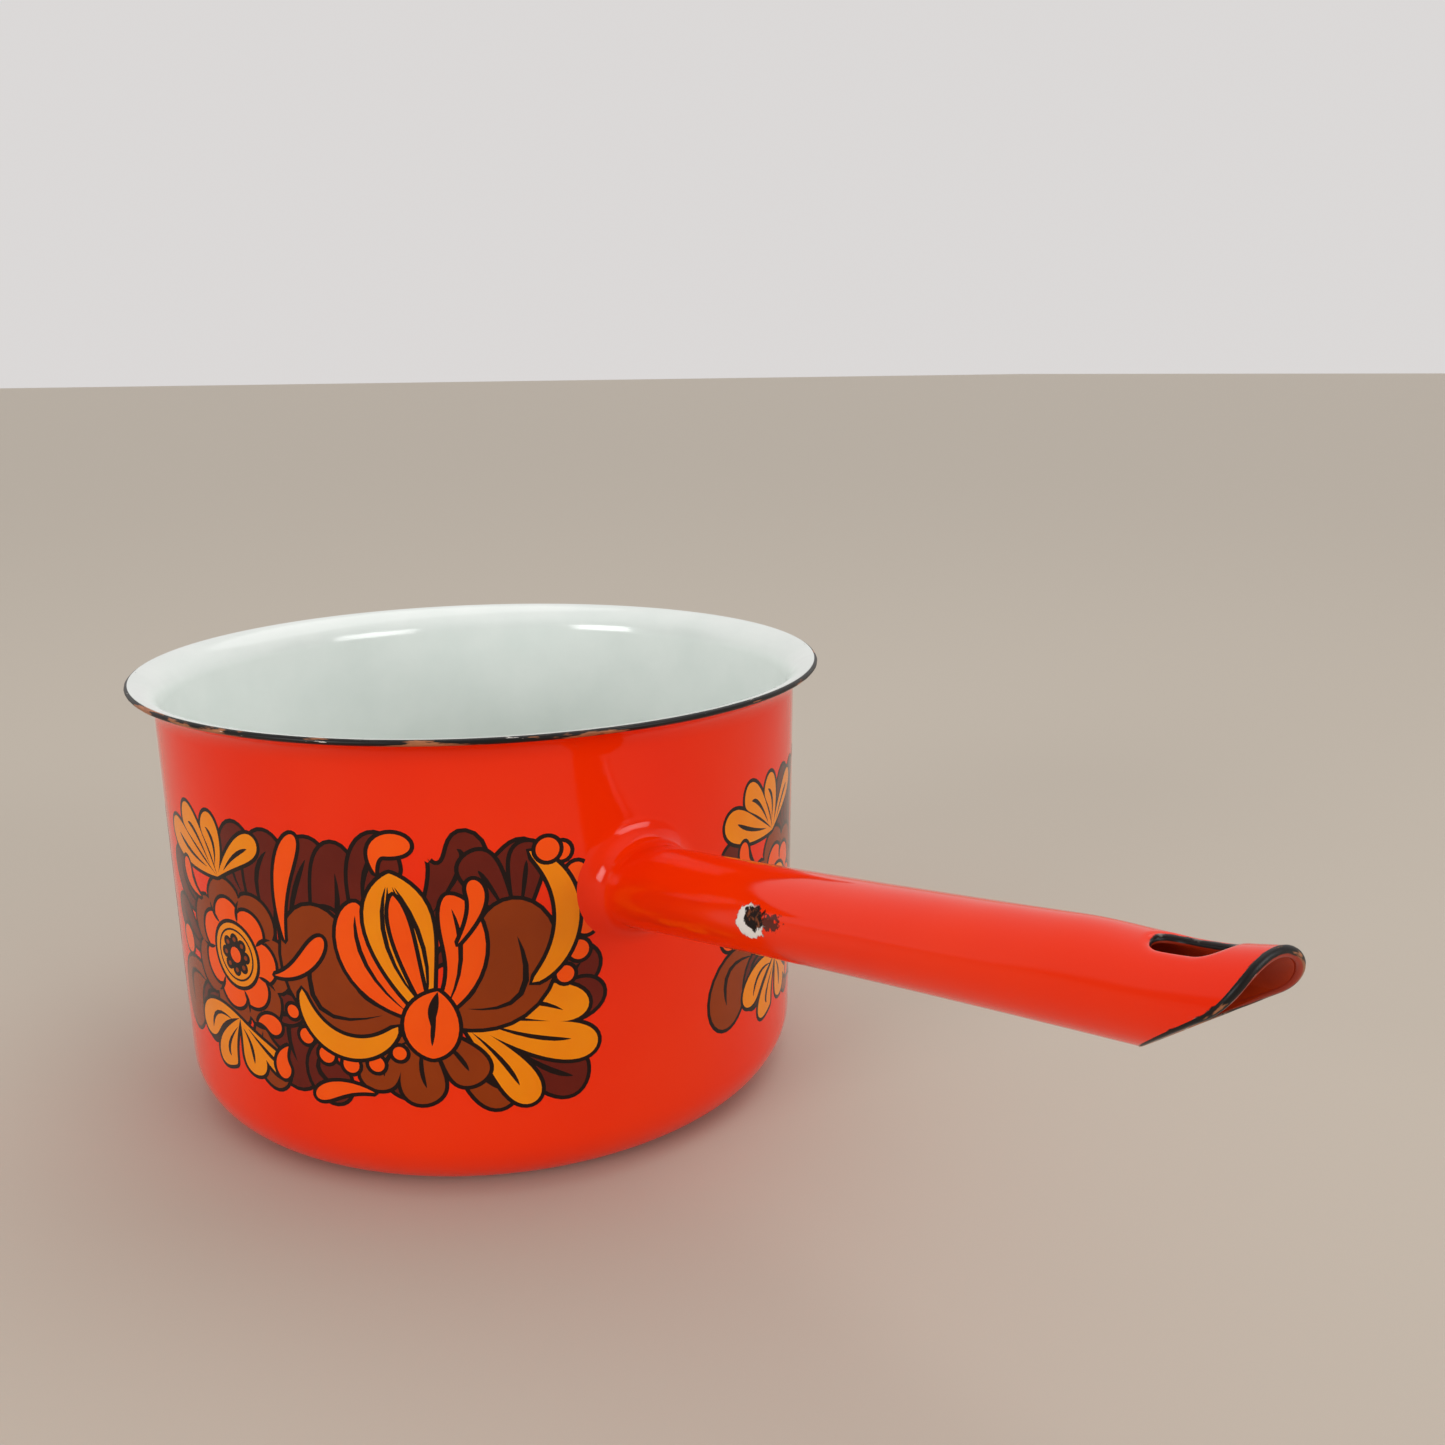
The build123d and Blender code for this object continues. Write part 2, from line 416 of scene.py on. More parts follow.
def fired_gloss(material, place, under=None):
    """Normal of a glass coat that flowed in the furnace: a slow ripple and a fine orange peel."""
    ripple = node(material, "TexNoise", {"Vector": place, "Scale": 1 / (17 * mm), "Detail": 1.0})
    peel = node(material, "TexNoise", {"Vector": place, "Scale": 1 / (1.6 * mm), "Detail": 2.0})
    slow = node(material, "Bump", {
        "Height": ripple.outputs["Fac"], "Strength": 0.5, "Distance": 0.35 * mm})
    if under:
        material.node_tree.links.new(under, slow.inputs["Normal"])
    fine = node(material, "Bump", {
        "Height": peel.outputs["Fac"], "Strength": 0.25, "Distance": 0.02 * mm,
        "Normal": slow.outputs["Normal"]})
    return fine.outputs["Normal"]


# A Mix node has several sockets of each name, so its share, its two colours and its result go
# by number
mix_share, mix_low, mix_high, mix_colour = 0, 6, 7, 2
chip_middle = on_handle(59.5 * mm, radians(172))
chip_reach = 12 * mm  # half its size across the handle, so that it lies on one side only


def fired_red_enamel():
    """Cadmium red glass enamel, sprayed and fired: deep colour, glassy, with a slow ripple.
    It is struck off in one place on the handle, down to the white coat and the steel."""
    material = new_material("fired_red_enamel")
    place = node(material, "TexCoord").outputs["Object"]
    # The coat's thickness drifts over some centimetres, which shifts its shade a little
    drift = node(material, "TexNoise", {"Vector": place, "Scale": 1 / (45 * mm), "Detail": 2.0})
    red = node(material, "Mix", {
        mix_share: drift.outputs["Fac"], mix_low: "#EE2200", mix_high: "#F93800"}, data_type="RGBA")

    # Worn edge of the mouth and the slot: black where the red has gone, pale where it broke off
    near_edge = node(material, "Attribute", attribute_name="edge_wear").outputs["Fac"]
    scuffs = node(material, "TexNoise", {"Vector": place, "Scale": 1 / (2.6 * mm), "Detail": 5.0})
    reached = node(material, "Math", {
        0: scuffs.outputs["Fac"], 1: 0.5, 2: near_edge}, operation="MULTIPLY_ADD")
    gone = node(material, "MapRange", {
        "Value": reached.outputs[0], "From Min": 1.08, "From Max": 1.14})
    broken = node(material, "TexNoise", {"Vector": place, "Scale": 1 / (7 * mm), "Detail": 4.0})
    pale = node(material, "MapRange", {
        "Value": broken.outputs["Fac"], "From Min": 0.54, "From Max": 0.60})
    bared = node(material, "Mix", {
        mix_share: pale.outputs["Result"], mix_low: "#1A100E", mix_high: "#968A82"}, data_type="RGBA")
    worn = node(material, "Mix", {
        mix_share: gone.outputs["Result"], mix_low: red.outputs[mix_colour],
        mix_high: bared.outputs[mix_colour]}, data_type="RGBA")

    # The chip: a ragged pale ring round dark steel, with specks of rust towards the tip. Each is
    # an oval, set off along the handle and up it, with its half sizes and how ragged its edge is.
    ragged = node(material, "TexNoise", {
        "Vector": place, "Scale": 1 / (1.3 * mm), "Detail": 6.0, "Roughness": 0.65})
    masks = []
    for shift, lift, half_length, half_height, rough in (
            (0.0, -0.3, 4.6, 3.3, 1.0), (1.3, 0.5, 3.3, 2.2, 1.6), (6.2, 0.3, 3.6, 1.6, 3.6)):
        centred = node(material, "Mapping", {
            "Vector": place, "Location": chip_middle + (along * shift + upward * lift) * mm,
            "Rotation": (0, -rise, 0), "Scale": (half_length * mm, chip_reach, half_height * mm)},
            vector_type="TEXTURE")
        radius = node(material, "VectorMath", {0: centred.outputs[0]}, operation="LENGTH")
        jagged = node(material, "Math", {
            0: ragged.outputs["Fac"], 1: rough, 2: radius.outputs["Value"]}, operation="MULTIPLY_ADD")
        covered = node(material, "MapRange", {
            "Value": jagged.outputs[0], "From Min": 1.0 + rough / 2, "From Max": 0.92 + rough / 2})
        masks.append(covered.outputs["Result"])
    chipped, bare, rusty = masks
    pitted = node(material, "MapRange", {
        "Value": ragged.outputs["Fac"], "From Min": 0.50, "From Max": 0.62})
    bare_steel = node(material, "Mix", {
        mix_share: pitted.outputs["Result"], mix_low: "#0A0706", mix_high: "#8A4A28"}, data_type="RGBA")
    shade = worn.outputs[mix_colour]
    for mask, colour in (
            (rusty, "#5A1A0C"), (chipped, "#E9E4DE"), (bare, bare_steel.outputs[mix_colour])):
        layer = node(material, "Mix", {
            mix_share: mask, mix_low: shade, mix_high: colour}, data_type="RGBA")
        shade = layer.outputs[mix_colour]
    depth = node(material, "Math", {0: chipped, 1: bare}, operation="ADD")
    crater = node(material, "Bump", {
        "Height": depth.outputs[0], "Strength": 1.0, "Distance": 0.2 * mm}, invert=True)
    dull = node(material, "MapRange", {"Value": chipped, "To Min": 0.08, "To Max": 0.6})
    shader = node(material, "BsdfPrincipled", {
        "Base Color": shade, "Roughness": dull.outputs["Result"], "IOR": 1.54,
        "Specular IOR Level": 0.22, "Normal": fired_gloss(material, place, crater.outputs["Normal"])})
    return finish_material(material, shader)


red_enamel = fired_red_enamel()
give_material(wall_coat, red_enamel)
give_material(handle_coat, red_enamel)

# ---------------------------------------------------------------------------------------------
# Flower transfer on the pan's wall. Five glass inks are screen-printed on a sheet, slid on to
# the fired red coat and fired again, so they lie flush in its gloss. Every panel has the same
# print: a round flower, a tulip and beaded sickles on a ground of dark leaves.
# ---------------------------------------------------------------------------------------------


def leaf(base, bend, tip, width, start=0.9, end=0.5, steps=22):
    """Outline about a bent spine. A low end gives it a round tip, and 1 a pointed one."""
    shares = [(1 - cos(pi * i / steps)) / 2 for i in range(steps + 1)]
    swell = [t**start * (1 - t**4) ** end for t in shares]
    left, right = [], []
    for t, share in zip(shares, swell):
        spot = (1 - t) ** 2 * base + 2 * t * (1 - t) * bend + t * t * tip
        ahead = (1 - t) * (bend - base) + t * (tip - bend)
        square = 1j * ahead / abs(ahead) * width / 2 * share / max(swell)
        left.append(spot + square)
        right.append(spot - square)
    return left + right[-2:0:-1]


def disc(centre, radius, steps=24):
    return [centre + rect(radius, 2 * pi * i / steps) for i in range(steps)]


def blossom(centre, radius, petals, depth):
    """A ring of round petals, as one scalloped outline."""
    angles = [2 * pi * i / (petals * 14) for i in range(petals * 14)]
    swells = [1 - depth + depth * abs(cos(petals * angle / 2)) ** 0.7 for angle in angles]
    return [centre + rect(radius * swell, angle) for swell, angle in zip(swells, angles)]


def sickle(centre, radius, first, last, width, steps=28):
    """A crescent along a circle, between two angles in degrees, thickest midway."""
    angles = [radians(first + (last - first) * i / steps) for i in range(steps + 1)]
    halves = [width / 2 * sin(pi * i / steps) ** 0.55 for i in range(steps + 1)]
    outer = [centre + rect(radius + half, angle) for angle, half in zip(angles, halves)]
    inner = [centre + rect(radius - half, angle) for angle, half in zip(angles, halves)]
    return outer + inner[-2:0:-1]


def grown(outline, border):
    """An outline moved out by a border."""
    before, after = outline[-1:] + outline[:-1], outline[1:] + outline[:1]
    area = sum((a.conjugate() * b).imag for a, b in zip(outline, after))
    outward = -1j if area > 0 else 1j
    sides = [b - a for a, b in zip(before, after)]
    return [p + outward * side / abs(side) * border for p, side in zip(outline, sides)]


# Each layer is an ink and its outlines, from the back to the front, in millimetres: along the
# wall from the panel's left end, and up from the base
layers = []
key_line = 0.95


def fill(ink, *outlines):
    layers.append((ink, outlines))


def paint(ink, *outlines):
    """Outlines filled as one shape, with a key line all round it."""
    fill("line", *(grown(outline, key_line) for outline in outlines))
    fill(ink, *outlines)


def vein(base, bend, tip, width=1.1):
    fill("line", leaf(base, bend, tip, width, 0.7, 0.8, 10))


def veined_leaf(ink, base, bend, tip, width):
    paint(ink, leaf(base, bend, tip, width))
    vein(0.65 * base + 0.25 * bend + 0.1 * tip, bend, 0.7 * tip + 0.3 * bend, 1.4)


# Leaves of the ground
for ink, base, bend, tip, width in (
        ("maroon", 24 + 60j, 11 + 62j, 8 + 73j, 11),
        ("maroon", 22 + 50j, 10 + 52j, 5 + 60j, 9),
        ("brown", 26 + 42j, 3 + 46j, 8 + 27j, 14),
        ("maroon", 30 + 42j, 14 + 42j, 20 + 28j, 9),
        ("maroon", 40 + 64j, 32 + 76j, 41 + 83j, 12),
        ("maroon", 47 + 56j, 40 + 74j, 50 + 83j, 12),
        ("maroon", 50 + 52j, 52 + 70j, 60 + 84j, 11),
        ("maroon", 54 + 50j, 66 + 62j, 64 + 84j, 11),
        ("maroon", 48 + 58j, 56 + 60j, 64 + 68j, 8),
        ("maroon", 46 + 50j, 58 + 46j, 62 + 56j, 10),
        ("maroon", 66 + 46j, 44 + 44j, 53 + 25j, 15),
        ("maroon", 62 + 40j, 52 + 30j, 64 + 25j, 10),
        ("brown", 40 + 40j, 38 + 30j, 47 + 25j, 10),
        ("maroon", 40 + 44j, 48 + 40j, 52 + 46j, 7),
        ("maroon", 80 + 60j, 96 + 82j, 90 + 84j, 12),
        ("maroon", 84 + 56j, 108 + 76j, 102 + 83j, 13),
        ("maroon", 92 + 50j, 112 + 48j, 120 + 58j, 11),
        ("maroon", 92 + 48j, 112 + 42j, 122 + 49j, 9),
        ("maroon", 96 + 42j, 108 + 30j, 118 + 27j, 11),
        ("brown", 88 + 40j, 94 + 30j, 102 + 25j, 11),
        ("maroon", 74 + 42j, 80 + 34j, 76 + 26j, 10),
        ("maroon", 70 + 62j, 70 + 80j, 78 + 84j, 11)):
    veined_leaf(ink, base, bend, tip, width)

# Round flower: two rings of petals, an eye with a thin ring in it, and a seed head
rose = 33 + 53j
paint("brown", blossom(rose, 18.2, 7, 0.20))
paint("orange", blossom(rose, 13.4, 7, 0.20))
for petal in range(7):
    angle = 2 * pi * (petal + 0.5) / 7
    vein(rose + rect(14, angle), rose + rect(12, angle + 0.1), rose + rect(8.5, angle))
paint("amber", disc(rose, 7.6, 40))
fill("line", disc(rose, 6.4, 36))
fill("amber", disc(rose, 5.9, 36))
fill("line", blossom(rose, 5.2, 8, 0.24))
fill("orange", disc(rose, 1.9, 18))
for seed in range(8):
    fill("brown", disc(rose + rect(3.7, 2 * pi * seed / 8), 0.6, 8))

# Lobed leaves, each lobe as its bend, tip and width from one root
for ink, root, lobes in (
        ("amber", 29 + 71j, ((16 + 74j, 6 + 79j, 8), (20 + 82j, 14 + 84j, 7),
                             (30 + 80j, 25 + 85j, 7), (36 + 78j, 44 + 82j, 6))),
        ("amber", 32 + 37j, ((20 + 38j, 15 + 29j, 8), (24 + 28j, 25 + 23j, 8),
                             (36 + 32j, 37 + 24j, 8), (42 + 30j, 47 + 27j, 5))),
        ("amber", 90 + 45j, ((104 + 50j, 119 + 44j, 9), (106 + 38j, 121 + 35j, 9),
                             (100 + 34j, 106 + 23j, 8))),
        ("brown", 83 + 43j, ((72 + 36j, 70 + 27j, 9), (80 + 34j, 82 + 24j, 10),
                             (90 + 36j, 94 + 29j, 9))),
        ("maroon", 104 + 64j, ((98 + 76j, 94 + 82j, 8), (106 + 76j, 107 + 84j, 7)))):
    paint(ink, *(leaf(root, bend, tip, width) for bend, tip, width in lobes))
    for bend, tip, width in lobes:
        vein(root + 0.18 * (tip - root), bend, tip + 0.2 * (root - tip))

# Tulip, its outer petals falling to both sides
root = 84 + 44j
veined_leaf("brown", root, 51 + 38j, 60 + 69j, 19)
veined_leaf("brown", root, 110 + 44j, 101 + 71j, 18)
for bend, tip, line in ((64 + 52j, 69 + 71j, 67 + 56j), (98 + 56j, 89 + 73j, 94 + 58j)):
    paint("orange", leaf(root, bend, tip, 9, 0.8, 0.6))
    vein(root + 0.25 * (bend - root), line, 0.8 * tip + 0.2 * line)
paint("amber", leaf(root, 78 + 60j, 77 + 78j, 15, 0.8, 0.8))
for side in (-7.5, -4, 4, 7.5):
    vein(83 + 47j, 79 + side + 61j, 77 + side / 8 + 75j)
paint("orange", leaf(root + 1j, 79 + 60j, 77.5 + 73j, 4.2, 0.9, 0.8))
paint("orange", *(leaf(86 + 51j, bend, 84 + 35j, 6, 0.9, 0.9) for bend in (77 + 46j, 90 + 44j)))
vein(85.5 + 48j, 84.5 + 44j, 84 + 38j)

# Beaded sickles beside the tulip and under it
for centre, radius, first, last, size in (
        (97 + 67j, 18, -48, 48, 2.5),
        (66 + 49j, 12.5, 190, 320, 2.0)):
    for bead in range(6):
        share = (bead + 0.5) / 6
        place = centre + rect(radius + 4.2, radians(first + (last - first) * share))
        paint("orange", disc(place, size * (0.72 + 0.28 * sin(pi * share)), 18))
    paint("amber", sickle(centre, radius, first - 10, last + 8, 5.2))

# Drops and buds
for base, bend, tip, width in (
        (50 + 60j, 48 + 74j, 55 + 85j, 4.6),
        (46 + 51j, 54 + 52j, 60 + 62j, 4.0),
        (48 + 34j, 44 + 30j, 47 + 26j, 4.4),
        (70 + 26j, 62 + 28j, 55 + 23j, 3.8),
        (74 + 78j, 72 + 86j, 82 + 84j, 5.0),
        (20 + 64j, 12 + 66j, 14 + 72j, 4.0),
        (39 + 38j, 42 + 40j, 46 + 37j, 4.6),
        (91 + 62j, 98 + 72j, 94 + 76j, 3.6)):
    paint("orange", leaf(base, bend, tip, width))
paint("orange", disc(8 + 50j, 3.4))
paint("orange", disc(111 + 82j, 2.6))

# The print is cut along its outlines, and in strips so that it bends round the wall
panel_width, panel_low, panel_high, strip = 129, 18, 90, 3
panel_starts = (-186, -94, 14, 106)  # degrees; the handle stands between the second and third
last_width = radians(172 - panel_starts[-1]) * wall_radius / mm  # trimmed where it meets the first
corners, cuts = [], []
for ink, outlines in layers:
    for outline in outlines:
        first = len(corners)
        corners += [Vector((p.real, p.imag)) for p in outline]
        cuts += [(first + i, first + (i + 1) % len(outline)) for i in range(len(outline))]
for place in [strip * step for step in range(panel_width // strip + 1)] + [last_width]:
    cuts.append((len(corners), len(corners) + 1))
    corners += [Vector((place, panel_low)), Vector((place, panel_high))]
corners, _, tiles, _, _, _ = delaunay_2d_cdt(corners, cuts, [], 0, 0.01, False)
spots = np.array([complex(*corner) for corner in corners])
tiles = np.array(tiles)
middles = spots[tiles].mean(axis=1)


def inside(outline, places):
    """Which places an outline goes round, wherever it crosses itself too."""
    rounds = np.zeros(len(places), int)
    for here, there in zip(outline, outline[1:] + outline[:1]):
        rise_over = (places - here) * (there - here).conjugate()
        upward_edge = (here.imag <= places.imag) & (there.imag > places.imag) & (rise_over.imag > 0)
        downward_edge = (here.imag > places.imag) & (there.imag <= places.imag) & (rise_over.imag < 0)
        rounds += upward_edge.astype(int) - downward_edge.astype(int)
    return rounds != 0


top_ink = np.full(len(tiles), "", dtype="<U8")
for ink, outlines in layers:
    for outline in outlines:
        real, imag = [p.real for p in outline], [p.imag for p in outline]
        near = np.flatnonzero(
            (middles.real > min(real)) & (middles.real < max(real))
            & (middles.imag > min(imag)) & (middles.imag < max(imag)))
        top_ink[near[inside(outline, middles[near])]] = ink

print_height = 0.03 * mm  # over the wall, and as much again sunk into it


def glass_ink(name, low, high):
    """Screen-printed glass ink, fired until it sank into the coat: flat colour, the same gloss."""
    material = new_material("fired_" + name + "_ink")
    place = node(material, "TexCoord").outputs["Object"]
    density = node(material, "TexNoise", {"Vector": place, "Scale": 1 / (9 * mm), "Detail": 4.0})
    shade = node(material, "Mix", {
        mix_share: density.outputs["Fac"], mix_low: low, mix_high: high}, data_type="RGBA")
    shader = node(material, "BsdfPrincipled", {
        "Base Color": shade.outputs[mix_colour], "Roughness": 0.09, "IOR": 1.54,
        "Specular IOR Level": 0.22, "Normal": fired_gloss(material, place)})
    return finish_material(material, shader)


def part_touching_shapes(mesh):
    """Where printed shapes meet in one point, gives each its own corner, drawn back a little."""
    shapes = bmesh.new()
    shapes.from_mesh(mesh)
    for vertex in [v for v in shapes.verts if not v.is_manifold]:
        for corner in bmesh.utils.vert_separate(vertex, []):
            others = [edge.other_vert(corner).co for edge in corner.link_edges]
            corner.co = corner.co.lerp(sum(others, Vector((0, 0, 0))) / len(others), 0.1)
    shapes.to_mesh(mesh)
    shapes.free()


for ink, low, high in (
        ("line", "#120402", "#1E0804"),
        ("maroon", "#5A1206", "#701C0A"),
        ("brown", "#863000", "#983A00"),
        ("orange", "#F84C00", "#FF5C00"),
        ("amber", "#F07E00", "#F89400")):
    printed = top_ink == ink
    used, faces = np.unique(tiles[printed], return_inverse=True)
    faces = faces.reshape(-1, 3)
    places, triangles = [], []
    for start in panel_starts:
        angles = radians(start) + spots[used].real * mm / wall_radius
        width = last_width if start == panel_starts[-1] else panel_width
        triangles += (faces[middles[printed].real < width] + len(places)).tolist()
        for angle, height in zip(angles.tolist(), (spots[used].imag * mm).tolist()):
            out = Vector((cos(angle), sin(angle), 0))
            places.append(out * (radius_of_wall(height) + print_height) + Vector((0, 0, height)))
    mesh = bpy.data.meshes.new("transfer_" + ink)
    mesh.from_pydata(places, [], triangles)
    item = bpy.data.objects.new("transfer_" + ink, mesh)
    bpy.context.scene.collection.objects.link(item)
    edit(item)
    bpy.ops.mesh.delete_loose()
    bpy.ops.object.mode_set(mode="OBJECT")
    part_touching_shapes(mesh)
    apply_modifier(item, "SOLIDIFY", thickness=2 * print_height, offset=-1)
    edit(item)
    place_mesh(item)
    give_material(item, glass_ink(ink, low, high))
    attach(item, "root")

# ---------------------------------------------------------------------------------------------
# Pale lining of the pan. White cover enamel, tinted a cool mint by its opacifier, over the base
# and up the wall to the lip, where it stops just short of the black edge.
# ---------------------------------------------------------------------------------------------
lining_wrap = radians(3)
floor_steps = 16
lining_line = [Vector((corner_centre.x * i / floor_steps, wall)) for i in range(floor_steps)]
lining_line += pan_line(wall, lining_wrap)
backing_line = pan_line(wall - coat_depth, lining_wrap)
lining = turned("white_lining", lining_line + backing_line[::-1] + [Vector((0, backing_line[0].y))])
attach(lining, "root")
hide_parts("inside_enamel")


def fired_white_enamel():
    """Titanium-white cover enamel, a cool mint, mottled where stock and tea have dulled it."""
    material = new_material("fired_white_enamel")
    place = node(material, "TexCoord").outputs["Object"]
    cloud = node(material, "TexNoise", {"Vector": place, "Scale": 1 / (16 * mm), "Detail": 6.0})
    shade = node(material, "Mix", {
        mix_share: cloud.outputs["Fac"], mix_low: "#E0E8E3", mix_high: "#F2F6F2"}, data_type="RGBA")
    ripple = node(material, "TexNoise", {"Vector": place, "Scale": 1 / (9 * mm), "Detail": 1.0})
    bump = node(material, "Bump", {
        "Height": ripple.outputs["Fac"], "Strength": 0.4, "Distance": 0.2 * mm})
    shader = node(material, "BsdfPrincipled", {
        "Base Color": shade.outputs[mix_colour], "Roughness": 0.14, "IOR": 1.52,
        "Specular IOR Level": 0.8, "Normal": bump.outputs["Normal"]})
    return finish_material(material, shader)


give_material(lining, fired_white_enamel())

# ---------------------------------------------------------------------------------------------
# Black edge coat of the lip. The cut edge of the sheet is dipped in black enamel, the first
# place to wear: it is chipped to white and rubbed through to rusty steel along the front.
# ---------------------------------------------------------------------------------------------
bead_points = 20
bead_across = wall / 2 + 0.03 * mm  # half sizes, across the sheet and along the lip
bead_along = 1.05 * mm
bead_back = 0.75 * bead_along  # from the lip's edge to the bead's middle
bead_line = []
for i in range(bead_points):
    turn = 2 * pi * i / bead_points
    from_centre = lip_bend + wall / 2 - 0.04 * mm + bead_across * cos(turn)
    back = lip_end + (bead_back + bead_along * sin(turn)) / lip_bend
    bead_line.append(lip_centre + Vector((cos(back), sin(back))) * from_centre)
rim_bead = turned("rim_edge_enamel", bead_line)

# Wear runs along the edge, so its pattern is laid out with the edge's length drawn together.
# The bead itself is a little uneven, as a dipped edge is.
run_stretch = 7
lip_edge = lip_centre + Vector((cos(lip_end), sin(lip_end))) * (lip_bend + wall / 2)
run = rim_bead.data.attributes.new("edge_run", "FLOAT_VECTOR", "POINT")
for vertex in rim_bead.data.vertices:
    out = Vector((vertex.co.x, vertex.co.y, 0)).normalized()
    middle = out * lip_edge.x + Vector((0, 0, lip_edge.y))
    run.data[vertex.index].vector = middle / run_stretch + vertex.co - middle
    swell = noise.noise(vertex.co / (5 * mm)) * 0.10 * mm
    ripple = noise.noise(vertex.co / (1.2 * mm)) * 0.04 * mm
    vertex.co += out * (swell + ripple)
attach(rim_bead, "root")
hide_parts("rim_enamel")


def worn_black_enamel():
    """Black edge enamel, satin with use, rubbed to rusty steel in runs and chipped to white."""
    material = new_material("worn_black_enamel")
    place = node(material, "Attribute", attribute_name="edge_run").outputs["Vector"]
    runs = node(material, "TexNoise", {
        "Vector": place, "Scale": 1 / (2.6 * mm), "Detail": 5.0, "Roughness": 0.6})
    rubbed = node(material, "MapRange", {
        "Value": runs.outputs["Fac"], "From Min": 0.57, "From Max": 0.60})
    flecks = node(material, "TexNoise", {
        "Vector": place, "Scale": 1 / (0.8 * mm), "Detail": 4.0, "Roughness": 0.6})
    chipped = node(material, "MapRange", {
        "Value": flecks.outputs["Fac"], "From Min": 0.67, "From Max": 0.69})
    # The inner side of the mouth and the slot was never blacked, and shows the ground coat
    inner = node(material, "Attribute", attribute_name="inner_side").outputs["Fac"]
    frayed = node(material, "Math", {
        0: flecks.outputs["Fac"], 1: 0.5, 2: inner}, operation="MULTIPLY_ADD")
    turned_in = node(material, "MapRange", {
        "Value": frayed.outputs[0], "From Min": 0.90, "From Max": 1.00})
    rust = node(material, "Mix", {
        mix_share: flecks.outputs["Fac"], mix_low: "#3A160C", mix_high: "#D88A5A"}, data_type="RGBA")
    shade = "#0E0A09"
    for mask, colour in (
            (rubbed, rust.outputs[mix_colour]), (chipped, "#D9D2CC"), (turned_in, "#A02A0C")):
        layer = node(material, "Mix", {
            mix_share: mask.outputs["Result"], mix_low: shade, mix_high: colour}, data_type="RGBA")
        shade = layer.outputs[mix_colour]
    bump = node(material, "Bump", {
        "Height": flecks.outputs["Fac"], "Strength": 0.5, "Distance": 0.1 * mm})
    shader = node(material, "BsdfPrincipled", {
        "Base Color": shade, "Roughness": 0.4, "IOR": 1.5, "Specular IOR Level": 0.3,
        "Normal": bump.outputs["Normal"]})
    return finish_material(material, shader)


edge_enamel = worn_black_enamel()
give_material(rim_bead, edge_enamel)

# ---------------------------------------------------------------------------------------------
# Black edges of the handle's mouth and of its hanging slot, dipped like the lip, and the rusty
# brown ground coat that is left bare inside the handle and under the base.
# ---------------------------------------------------------------------------------------------


def edge_bead(name, centres, outs, across, forward, minor=14):
    """A bead round an edge: across the sheet and forward along it are its half sizes."""
    count = len(centres)
    bpy.ops.mesh.primitive_torus_add(
        major_segments=count, minor_segments=minor, major_radius=3 * mm, minor_radius=mm)
    item = bpy.context.object
    item.name = name
    inner = item.data.attributes.new("inner_side", "FLOAT", "POINT")
    run = item.data.attributes.new("edge_run", "FLOAT_VECTOR", "POINT")
    for i in range(count):
        tangent = (centres[(i + 1) % count] - centres[i - 1]).normalized()
        out = (outs[i] - tangent * outs[i].dot(tangent)).normalized()
        ahead = tangent.cross(out)
        uneven = 1 + 0.15 * noise.noise(centres[i] / (4 * mm))
        for j in range(minor):
            turn = 2 * pi * j / minor
            section = out * across * cos(turn) + ahead * forward * uneven * sin(turn)
            item.data.vertices[i * minor + j].co = centres[i] + section
            run.data[i * minor + j].vector = centres[i] / run_stretch + section
            inner.data[i * minor + j].value = 0.5 - 0.5 * cos(turn)
    edit(item)
    bpy.ops.mesh.normals_make_consistent(inside=False)
    place_mesh(item, 180)
    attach(item, "root")
    give_material(item, edge_enamel)
    return item


bead_steps = 160
turns = [2 * pi * i / bead_steps for i in range(bead_steps)]
mouth_half = 0.6 * mm
mouth_line = [on_handle(mouth_end(t, mouth_half), t, -wall / 2) for t in turns]
mouth_outs = [on_handle(mouth_end(t), t, mm) - on_handle(mouth_end(t), t) for t in turns]
mouth_bead = edge_bead("mouth_edge_enamel", mouth_line, mouth_outs, wall / 2 + 0.04 * mm, mouth_half)
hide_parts("mouth_enamel")

slot_across, slot_forward = 0.5 * mm, 0.32 * mm
slot_bead_inset = 0.3 * mm  # from the slot's outline and from the foot of its rolled edge
slot_line, slot_outs = [], []
for turn in turns:
    spot = slot_edge((cos(turn), sin(turn)), slot_bead_inset)
    spot.x += slot_centre
    around = acos(spot.y / handle_section(spot.x)[0])
    slot_line.append(on_handle(spot.x, around, -slot_roll - slot_bead_inset))
    slot_outs.append(on_handle(spot.x, around, mm) - on_handle(spot.x, around))
slot_bead = edge_bead("slot_edge_enamel", slot_line, slot_outs, slot_across, slot_forward)
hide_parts("slot_enamel")


def fired_ground_coat():
    """Ground enamel, fired rusty brown on the steel and left without a cover coat."""
    material = new_material("fired_ground_coat")
    place = node(material, "TexCoord").outputs["Object"]
    blotch = node(material, "TexNoise", {"Vector": place, "Scale": 1 / (7 * mm), "Detail": 5.0})
    shade = node(material, "Mix", {
        mix_share: blotch.outputs["Fac"], mix_low: "#7A1A08", mix_high: "#D04414"}, data_type="RGBA")
    bump = node(material, "Bump", {
        "Height": blotch.outputs["Fac"], "Strength": 0.4, "Distance": 0.1 * mm})
    shader = node(material, "BsdfPrincipled", {
        "Base Color": shade.outputs[mix_colour], "Roughness": 0.45, "IOR": 1.5,
        "Specular IOR Level": 0.12, "Normal": bump.outputs["Normal"]})
    return finish_material(material, shader)


ground_coat = fired_ground_coat()
for name in ("handle_lining", "base_enamel"):
    give_material(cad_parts[name], ground_coat)

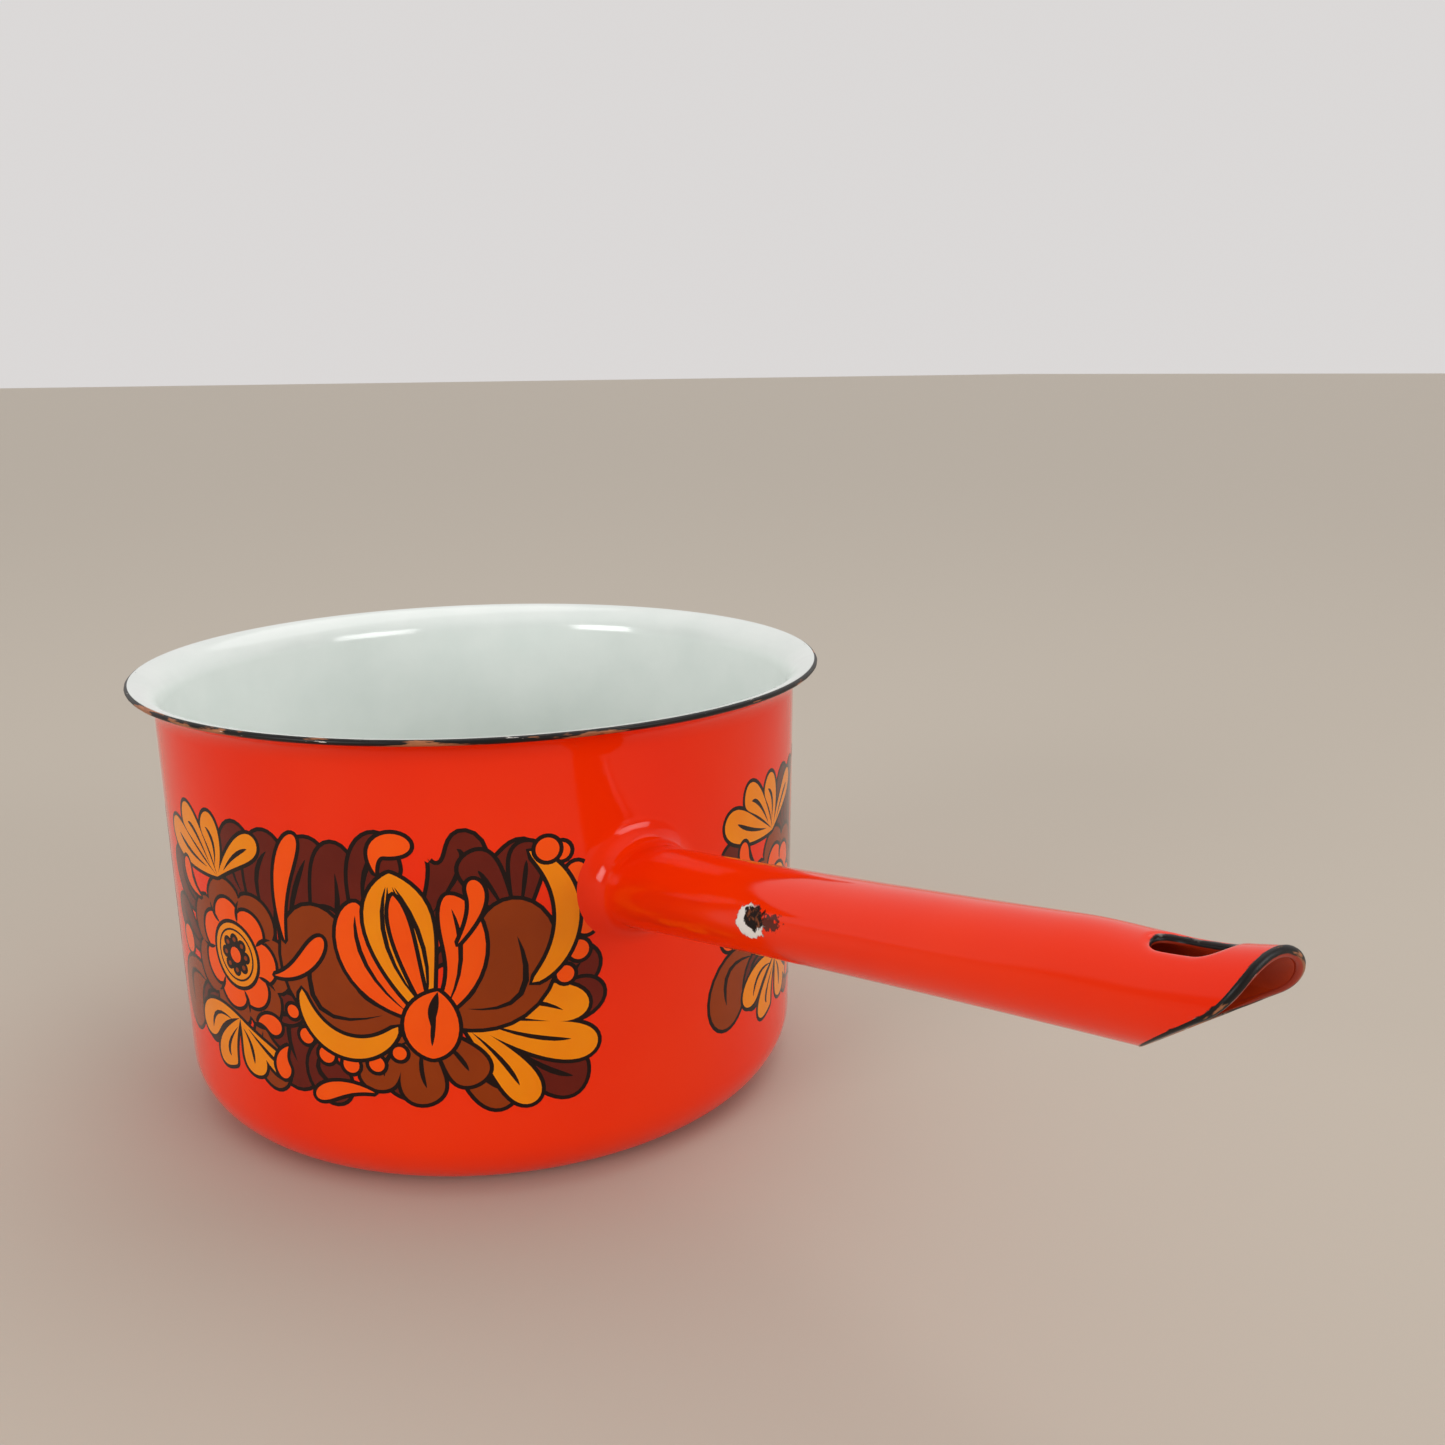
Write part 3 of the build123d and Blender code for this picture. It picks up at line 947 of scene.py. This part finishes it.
# ---------------------------------------------------------------------------------------------
# Pale floor, soft studio light and the camera, which stands a little above the rim and looks
# past the handle's near side.
# ---------------------------------------------------------------------------------------------
bpy.ops.mesh.primitive_plane_add(size=40)
floor = bpy.context.object
floor.name = "studio_floor"
floor.select_set(False)
matt_paint = new_material("pale_floor_paint")
paint_shader = node(matt_paint, "BsdfPrincipled", {"Base Color": "#C2B8AA", "Roughness": 0.8})
give_material(floor, finish_material(matt_paint, paint_shader))


def softbox(name, azimuth, elevation, distance, width, height, power):
    """A rectangular soft light that faces the pan's middle; its place is given in degrees."""
    light = bpy.data.lights.new(name, "AREA")
    light.shape = "RECTANGLE"
    light.size, light.size_y = width, height
    light.energy = power
    light.spread = radians(70)  # keeps the light off the floor at its foot
    lamp = bpy.data.objects.new(name, light)
    bpy.context.scene.collection.objects.link(lamp)
    facing = Euler((0, radians(-elevation), radians(azimuth))).to_matrix() @ Vector((1, 0, 0))
    lamp.location = Vector((0, 0, pan_height / 2)) + facing * distance
    lamp.rotation_euler = (-facing).to_track_quat("-Z", "Y").to_euler()


softbox("window_right", 21, 17, 2.0, 1.15, 0.72, 2.1)
softbox("window_left", -76, 13, 2.0, 0.90, 0.80, 2.45)

skylight = bpy.data.lights.new("skylight", "SUN")
skylight.energy = 0.67
skylight.angle = radians(60)
overhead = bpy.data.objects.new("skylight", skylight)
overhead.rotation_euler = (radians(-22), radians(-10), 0)
bpy.context.scene.collection.objects.link(overhead)

# The room is bright behind the pan and overhead, and dimmer on the near side
near_light, far_light = 0.26, 0.80
world = bpy.data.worlds.new("pale_room")
bpy.context.scene.world = world
world.use_nodes = True
background = world.node_tree.nodes["Background"]
background.inputs["Color"].default_value = linear("#F2EFEE")
facing = node(world, "TexCoord").outputs["Generated"]
backdrop = Vector((cos(radians(146)), sin(radians(146)), 0.25))
behind = node(world, "VectorMath", {0: facing, 1: backdrop}, operation="DOT_PRODUCT")
above = node(world, "VectorMath", {0: facing, 1: (0, 0, 1)}, operation="DOT_PRODUCT")
board = node(world, "MapRange", {
    "Value": behind.outputs["Value"], "From Min": 0.16, "From Max": 0.24,
    "To Min": near_light, "To Max": far_light})
ceiling = node(world, "MapRange", {
    "Value": above.outputs["Value"], "From Min": 0.4, "From Max": 0.8,
    "To Min": near_light, "To Max": far_light})
bright = node(world, "Math", {0: board.outputs[0], 1: ceiling.outputs[0]}, operation="MAXIMUM")
world.node_tree.links.new(bright.outputs[0], background.inputs["Strength"])
bpy.context.scene.view_settings.view_transform = "Standard"

# The camera looks down by its tilt, towards its heading, and is rolled a little
heading, tilt, roll = 146.83, 13.84, -0.52  # degrees
camera_data = bpy.data.cameras.new("camera")
camera_data.sensor_width = 36
camera_data.lens = 35.97
camera = bpy.data.objects.new("camera", camera_data)
bpy.context.scene.collection.objects.link(camera)
camera.location = (343.6 * mm, -150.1 * mm, 181.7 * mm)
looking = Euler((radians(90 - tilt), 0, radians(heading - 90))).to_matrix()
camera.rotation_euler = (looking @ Matrix.Rotation(radians(roll), 3, "Z")).to_euler()
bpy.context.scene.camera = camera
